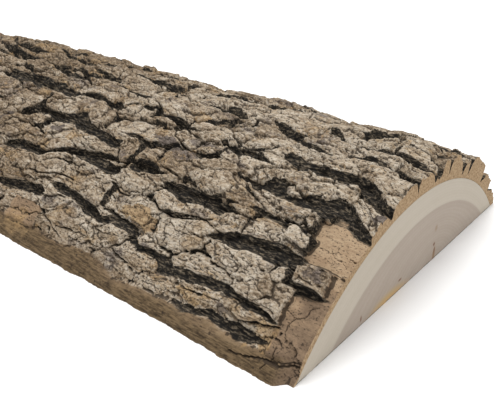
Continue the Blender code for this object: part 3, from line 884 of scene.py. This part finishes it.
def bumpOf(tree, shader, height, strength, distance):
    bump = addNode(tree, "ShaderNodeBump", Strength=strength, Distance=distance, Height=height)
    tree.links.new(bump.outputs["Normal"], shader.inputs["Normal"])


def newMaterial(name, roughness, shine):
    material = bpy.data.materials.new(name)
    material.use_nodes = True
    shader = material.node_tree.nodes["Principled BSDF"]
    shader.inputs["Roughness"].default_value = roughness
    shader.inputs["Specular IOR Level"].default_value = shine
    return material, material.node_tree, shader


barkFinish = {
    "topStops": [(0.0, srgb(92, 76, 59)), (0.28, srgb(139, 121, 99)), (0.58, srgb(173, 157, 136)),
                 (1.0, srgb(202, 191, 174))],
    "tanStops": [(0.1, srgb(128, 101, 70)), (0.8, srgb(178, 149, 107))],
    "duskStops": [(0.2, srgb(76, 69, 67)), (0.8, srgb(116, 105, 99))],
    "furrowStops": [(0.0, srgb(14, 13, 12)), (0.46, srgb(28, 26, 24)), (0.53, srgb(58, 52, 44)),
                    (0.62, srgb(132, 119, 101))],
    "bareStops": [(0.0, srgb(106, 87, 70)), (0.3, srgb(132, 111, 90)), (0.6, srgb(158, 133, 106)),
                  (0.9, srgb(182, 158, 129))],
    "stripStops": [(0.0, srgb(58, 47, 35)), (0.35, srgb(92, 76, 56)), (0.9, srgb(122, 102, 76))],
    "lineColour": srgb(56, 47, 39),
    # how strongly each colour covers the one below it
    "dusk": 0.85,
    "tan": 0.8,
    "dots": 0.8,
    "flecks": 0.45,
    "lines": 0.82,
    "hairlinesPerMetre": 190.0,
    "hairlineSway": 0.0035,  # metres
    "bumpDistance": 0.0013,
}


def hairlineShare(tree, coarse):
    # a net of thin wandering cracks, in some places only
    swayed = noiseNode(tree, (1, 1, 1), 420, 2, 0.6, "Color")
    swayed = vectorNode(tree, "MULTIPLY", swayed, (barkFinish["hairlineSway"],) * 3)
    bent = vectorNode(tree, "ADD", stretched(tree, (0.75, 1, 1)), swayed)
    crackle = addNode(tree, "ShaderNodeTexVoronoi", Scale=barkFinish["hairlinesPerMetre"], Randomness=1.0)
    crackle.feature = "DISTANCE_TO_EDGE"
    tree.links.new(bent, crackle.inputs["Vector"])
    near = opposite(tree, rangeOf(tree, crackle.outputs["Distance"], 0.02, 0.06))
    near = times(tree, near, rangeOf(tree, coarse, 0.44, 0.56))
    return times(tree, near, mathNode(tree, "SUBTRACT", 0.7, attributeOf(tree, "bare")))


def barkMaterial():
    material, tree, shader = newMaterial("weatheredBark", 0.92, 0.18)
    coarse = noiseNode(tree, (0.6, 1, 1), 160, 4, 0.6)
    fine = noiseNode(tree, (0.6, 1, 1), 700, 4, 0.7)
    fibre = noiseNode(tree, (0.11, 1, 1), 900, 3, 0.6)
    specks = noiseNode(tree, (0.7, 1, 1), 820, 2, 0.55)
    gritty = noiseNode(tree, (0.35, 1, 1), 760, 3, 0.65)
    grit = noiseNode(tree, (0.5, 1, 1), 400, 5, 0.72)
    shreds = noiseNode(tree, (0.3, 1, 1), 640, 5, 0.72)
    mixed = blended(tree, (grit, 0.45), (fine, 0.35), (fibre, 0.2))
    evenly = rangeOf(tree, mixed, 0.35, 0.65)
    line = barkFinish["lineColour"]

    # the plates' tops, with dusky patches
    light = attributeOf(tree, "tone")
    tone = blended(tree, (light, 0.5), (rangeOf(tree, mixed, 0.42, 0.58), 0.48))
    colour = rampNode(tree, tone, barkFinish["topStops"])
    dusks = rampNode(tree, evenly, barkFinish["duskStops"])
    colour = paintOver(tree, colour, frayed(tree, "dusk", coarse, 1.3, 0.3, 0.75), barkFinish["dusk"], dusks)

    # the bare places and the strip along the front, and the tan patches over all
    worn = blended(tree, (light, 0.65), (rangeOf(tree, mixed, 0.3, 0.7), 0.35))
    bares = rampNode(tree, worn, barkFinish["bareStops"])
    patchy = blended(tree, (fibre, 0.4), (mixed, 0.6))
    strips = rampNode(tree, rangeOf(tree, patchy, 0.36, 0.64), barkFinish["stripStops"])
    under = mixColour(tree, attributeOf(tree, "strip"), bares, strips)
    colour = mixColour(tree, frayed(tree, "bare", fine, 0.6, 0.38, 0.62), colour, under)
    tans = rampNode(tree, evenly, barkFinish["tanStops"])
    colour = paintOver(tree, colour, frayed(tree, "tan", coarse, 1.3, 0.3, 0.85), barkFinish["tan"], tans)

    # dark dots, flecks and lines; the lines are cracks together with painted shade in hollows and under ledge
    # rims
    calm = opposite(tree, times(tree, attributeOf(tree, "strip"), 0.8))
    dots = times(tree, rangeOf(tree, specks, 0.6, 0.645), calm)
    colour = paintOver(tree, colour, dots, barkFinish["dots"], line)
    flecks = times(tree, opposite(tree, rangeOf(tree, gritty, 0.34, 0.46)), calm)
    colour = paintOver(tree, colour, flecks, barkFinish["flecks"], line)
    colour = mixColour(tree, hairlineShare(tree, coarse), colour, line)
    colour = paintOver(tree, colour, frayed(tree, "lines", fine, 0.7, 0.4, 0.82), barkFinish["lines"], line)

    # the furrows' fibrous black over everything, also painted as shade on steep walls and at the feet of
    # walls
    furrows = rampNode(tree, blended(tree, (shreds, 0.8), (fibre, 0.2)), barkFinish["furrowStops"])
    colour = mixColour(tree, frayed(tree, "shade", shreds, 0.65, 0.36, 0.58), colour, furrows)
    tree.links.new(colour, shader.inputs["Base Color"])
    bumpOf(tree, shader, blended(tree, (grit, 0.65), (fibre, 0.35)), 0.9, barkFinish["bumpDistance"])
    return material


cutBarkFinish = {
    "stops": [(0.2, srgb(134, 109, 80)), (0.5, srgb(160, 134, 102)), (0.85, srgb(178, 153, 121))],
    "speckColour": srgb(92, 72, 51),
    "specks": 0.65,
    "bumpDistance": 0.0002,
}


def cutBarkMaterial():
    material, tree, shader = newMaterial("sawnBark", 0.85, 0.2)
    grain = noiseNode(tree, (1, 1, 1), 620, 4, 0.6)
    specks = noiseNode(tree, (1, 1, 1), 1300, 2, 0.5)
    colour = rampNode(tree, rangeOf(tree, grain, 0.22, 0.78), cutBarkFinish["stops"])
    colour = paintOver(tree, colour, rangeOf(tree, specks, 0.6, 0.72), cutBarkFinish["specks"],
                       cutBarkFinish["speckColour"])
    tree.links.new(colour, shader.inputs["Base Color"])
    bumpOf(tree, shader, specks, 0.5, cutBarkFinish["bumpDistance"])
    return material


def makeBarkPiece(name, uFrom, uTo, surface, sawn):
    steps = bark["alongSteps"]
    margin = bark["margin"]
    acrossSteps = bark["acrossSteps"]
    radius, halfAngle = arcOf(slab["width"], slab["height"])
    share = np.linspace(-1, 1, acrossSteps + 1)
    vSteps = share * radius * halfAngle
    stretch = (uTo - uFrom) / steps * margin
    uSteps = np.linspace(uFrom - stretch, uTo + stretch, steps + 1 + 2 * margin)
    foot = seamPoints(share)
    crown = archPoints(share, slab["width"], slab["height"])
    thick = np.hypot(*(crown - foot).T)
    height, fields = barkFields(uSteps, vSteps, thick)
    kept = np.s_[margin:-margin]
    uSteps = uSteps[kept]
    height = height[kept]
    fields = {key: values[kept] for key, values in fields.items()}
    outer = foot + (height / thick)[..., None] * (crown - foot)

    # the closed loop of one slice: over the arch, down the back foot, along the wood, up the front foot
    down = np.linspace(0, 1, bark["footSteps"] + 1)[1:-1, None]
    under = seamPoints(np.linspace(1, -1, bark["underSteps"] + 1))
    loops = []
    for row in outer:
        back = row[-1] + down * (under[0] - row[-1])
        front = under[-1] + down * (row[0] - under[-1])
        loops.append(np.concatenate([row, back, under, front, row[:1]]))
    loops = np.array(loops)
    rounds = loops.shape[1] - 1

    deselectAll()
    bpy.ops.mesh.primitive_grid_add(x_subdivisions=steps, y_subdivisions=rounds, size=1)
    piece = bpy.context.active_object
    piece.name = name
    mesh = piece.data
    mesh.name = name
    flat = pointsOf(mesh)
    i = np.round((flat[:, 0] + 0.5) * steps).astype(int)
    j = np.round((flat[:, 1] + 0.5) * rounds).astype(int)
    places = np.empty_like(flat)
    places[:, 0] = slab["length"] / 2 - uSteps[i]
    places[:, 1:] = loops[i, j] + (shiftY, 0)
    mesh.vertices.foreach_set("co", (places / 1000).ravel())
    onTop = j <= acrossSteps
    for key, values in fields.items():
        column = np.where(onTop, values[i, np.minimum(j, acrossSteps)], 0.0)
        mesh.attributes.new(key, "FLOAT", "POINT").data.foreach_set("value", column.astype(np.float32))
    corners = np.empty(len(mesh.loops), np.int32)
    mesh.loops.foreach_get("vertex_index", corners)
    sawnFaces = (j[corners].reshape(-1, 4).max(axis=1) > acrossSteps).astype(np.int32)
    mesh.materials.append(surface)
    mesh.materials.append(sawn)
    mesh.polygons.foreach_set("material_index", sawnFaces)
    mesh.update()

    bpy.ops.object.mode_set(mode="EDIT")
    bpy.ops.mesh.select_all(action="SELECT")
    bpy.ops.mesh.remove_doubles(threshold=0.000005)
    bpy.ops.mesh.fill_holes(sides=0)
    bpy.ops.mesh.select_all(action="SELECT")
    bpy.ops.mesh.normals_make_consistent(inside=False)
    bpy.ops.object.mode_set(mode="OBJECT")
    for face in mesh.polygons:
        if len(face.vertices) > 4:
            face.material_index = 1
    bpy.ops.object.shade_smooth_by_angle(angle=math.radians(34))
    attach(piece, "root")
    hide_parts("bark")
    return piece


surface = barkMaterial()
sawn = cutBarkMaterial()
for name, uFrom, uTo in bark["pieces"]:
    made = makeBarkPiece(name, uFrom, uTo, surface, sawn)
    print("stage 3:", name, len(made.data.vertices), "points", len(made.data.polygons), "faces")

wood = {
    "acrossSteps": 150,
    "upSteps": 36,
    # rings of growth on the cut ends: height of each ring's top over the base, its centre (y, z), its radius
    "rings": [(75.0, -1.0, -114.0, 189.0), (67.0, 0.5, -115.9, 182.9), (47.0, 8.5, -116.0, 163.0),
              (36.6, 14.6, -65.0, 101.6), (20.0, 26.0, -34.0, 54.0), (8.0, 33.0, -12.0, 20.0),
              (0.0, 36.0, -1.0, 1.0)],
    "heartTop": 47.0,
    "ringEvery": 2.6,
    "broadEvery": 3.7,  # growth rings to each broad band
}


def growthAt(y, z):
    # how far up the scale of rings each point lies, by halving
    tops, centreY, centreZ, radii = np.array(wood["rings"][::-1]).T
    low = np.full(y.shape, tops[0])
    high = np.full(y.shape, tops[-1])
    for _ in range(22):
        middle = (low + high) / 2
        radius = np.interp(middle, tops, radii)
        away = np.hypot(y - np.interp(middle, tops, centreY), z - np.interp(middle, tops, centreZ))
        outside = away > radius
        low = np.where(outside, middle, low)
        high = np.where(outside, high, middle)
    return (low + high) / 2


woodFinish = {
    "sapStops": [(0.0, srgb(173, 162, 146)), (0.5, srgb(181, 171, 156)), (1.0, srgb(188, 179, 165))],
    "heartStops": [(0.0, srgb(155, 142, 128)), (0.5, srgb(164, 151, 138)), (1.0, srgb(173, 161, 149))],
    "stain": srgb(190, 158, 106),
    "dot": srgb(104, 60, 34),
    "streak": srgb(134, 104, 72),
    "baseDark": srgb(92, 90, 76),
    "baseDarkReach": 1.3,  # mm up from the base over which the cut end is darker
    "baseDarkStrength": 0.85,
    "bumpDistance": 0.0002,
    # stains on the cut end: colour, place and reach along y and z in mm, strength
    "spots": [
        ("stain", (-34, -1), (36, 11), 0.95),
        ("streak", (33, 4), (3.0, 10), 0.9),
        ("streak", (31.3, 27.5), (3, 4), 0.5),
        ("dot", (31.3, 13.7), (2.2, 2.4), 0.95),
        ("dot", (33.0, 8.0), (1.2, 4.0), 0.95),
        ("dot", (32.5, -0.4), (4.5, 2.4), 0.95),
        ("dot", (-19.7, 9.0), (3.6, 1.5), 0.8),
        ("dot", (-70.8, 5.5), (1.4, 3.6), 0.8),
    ],
}


def spotNode(tree, place, reach):
    # 1 at a place on the cut end, fading to 0 at its reach along y and z, both in mm
    centre = (slab["length"] / 2000, (place[0] + shiftY) / 1000, place[1] / 1000)
    away = vectorNode(tree, "SUBTRACT", objectPlace(tree), centre)
    away = vectorNode(tree, "MULTIPLY", away, (40, 1000 / reach[0], 1000 / reach[1]))
    length = addNode(tree, "ShaderNodeVectorMath", Vector=away)
    length.operation = "LENGTH"
    return rangeOf(tree, opposite(tree, length.outputs["Value"]), 0.0, 0.8)


def woodMaterial():
    material, tree, shader = newMaterial("sawnWood", 0.72, 0.25)
    growth = attributeOf(tree, "growth")
    drift = noiseNode(tree, (0.25, 1, 1), 30, 2, 0.5)
    wavering = mathNode(tree, "ADD", growth, times(tree, drift, 1.6))
    ringTurn = 2 * math.pi / wood["ringEvery"]
    ring = mathNode(tree, "SINE", times(tree, wavering, ringTurn))
    ring = mathNode(tree, "ADD", times(tree, ring, 0.5), 0.5)
    broad = mathNode(tree, "SINE", times(tree, wavering, ringTurn / wood["broadEvery"]))
    grain = noiseNode(tree, (0.08, 1, 1), 520, 4, 0.65)
    cloud = noiseNode(tree, (1, 1, 1), 28, 2, 0.5)
    lightness = blended(tree, (ring, 0.14), (grain, 0.5), (cloud, 0.35), (broad, 0.06))
    sap = rampNode(tree, lightness, woodFinish["sapStops"])
    heart = rampNode(tree, lightness, woodFinish["heartStops"])
    border = mathNode(tree, "ADD", growth, times(tree, drift, 0.8))
    inHeart = rangeOf(tree, mathNode(tree, "SUBTRACT", wood["heartTop"] + 0.9, border), 0.0, 1.1)
    colour = mixColour(tree, inHeart, sap, heart)
    for which, place, reach, strength in woodFinish["spots"]:
        colour = paintOver(tree, colour, spotNode(tree, place, reach), strength, woodFinish[which])
    height = addNode(tree, "ShaderNodeSeparateXYZ", Vector=stretched(tree, (1000, 1000, 1000))).outputs["Z"]
    # the cut end darker along its base
    baseDark = opposite(tree, rangeOf(tree, height, 0.2, woodFinish["baseDarkReach"]))
    baseDark = times(tree, baseDark, rangeOf(tree, noiseNode(tree, (1, 1, 1), 90, 3), 0.38, 0.5))
    colour = paintOver(tree, colour, baseDark, woodFinish["baseDarkStrength"], woodFinish["baseDark"])
    tree.links.new(colour, shader.inputs["Base Color"])
    bumpOf(tree, shader, blended(tree, (grain, 0.7), (ring, 0.15)), 0.35, woodFinish["bumpDistance"])
    return material


def makeWood():
    acrossSteps = wood["acrossSteps"]
    upSteps = wood["upSteps"]
    deselectAll()
    bpy.ops.mesh.primitive_grid_add(x_subdivisions=acrossSteps, y_subdivisions=upSteps, size=1)
    piece = bpy.context.active_object
    piece.name = "sawnWood"
    mesh = piece.data
    mesh.name = "sawnWood"
    flat = pointsOf(mesh)
    arch = archPoints(2 * flat[:, 0].astype(float), slab["woodWidth"], slab["woodHeight"])
    lift = flat[:, 1] + 0.5
    along = np.full(len(flat), slab["length"] / 2)
    places = np.stack([along, arch[:, 0] + shiftY, arch[:, 1] * lift], axis=1)
    mesh.vertices.foreach_set("co", (places / 1000).ravel().astype(np.float32))
    mesh.update()
    bpy.ops.object.mode_set(mode="EDIT")
    bpy.ops.mesh.select_all(action="SELECT")
    bpy.ops.mesh.remove_doubles(threshold=0.00001)
    bpy.ops.mesh.extrude_region_move(TRANSFORM_OT_translate={"value": (-slab["length"] / 1000, 0, 0)})
    bpy.ops.mesh.select_all(action="SELECT")
    bpy.ops.mesh.normals_make_consistent(inside=False)
    bpy.ops.object.mode_set(mode="OBJECT")
    flat = pointsOf(mesh).astype(float) * 1000
    growth = growthAt(flat[:, 1] - shiftY, flat[:, 2])
    mesh.attributes.new("growth", "FLOAT", "POINT").data.foreach_set("value", growth.astype(np.float32))
    mesh.materials.append(woodMaterial())
    bpy.ops.object.shade_smooth_by_angle(angle=math.radians(30))
    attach(piece, "root")
    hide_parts("wood")
    return piece


made = makeWood()
print("stage 4: sawnWood", len(made.data.vertices), "points")
